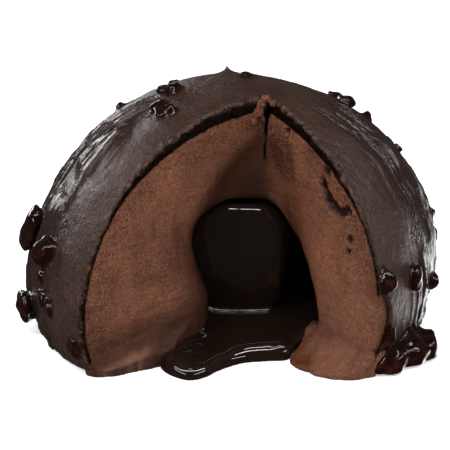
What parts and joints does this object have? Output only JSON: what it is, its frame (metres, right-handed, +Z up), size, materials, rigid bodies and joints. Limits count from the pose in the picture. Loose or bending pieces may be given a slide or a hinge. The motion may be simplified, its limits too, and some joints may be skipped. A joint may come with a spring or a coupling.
{
  "type": "chocolate truffle",
  "caption": "Large dome-shaped chocolate truffle with a slice cut out, showing milk mousse and a molten dark centre that runs out in a pool.",
  "frame": {"origin": "under the dome's axis, on the table", "axes": "+Z up; the slice opens towards -Y; +X is to the right as seen from the open side"},
  "size_m": [0.0825, 0.0693, 0.0499],
  "materials": {
    "coating": "satin dark chocolate, brushed along the dome, with glossy nibs",
    "mousse": "matt, finely porous milk chocolate mousse",
    "molten_centre": "wet, mirror-glossy dark chocolate sauce"
  },
  "bodies": {
    "root": {"coating": "coating", "mousse": "mousse", "molten_centre": "molten_centre"}
  },
  "joints": []
}
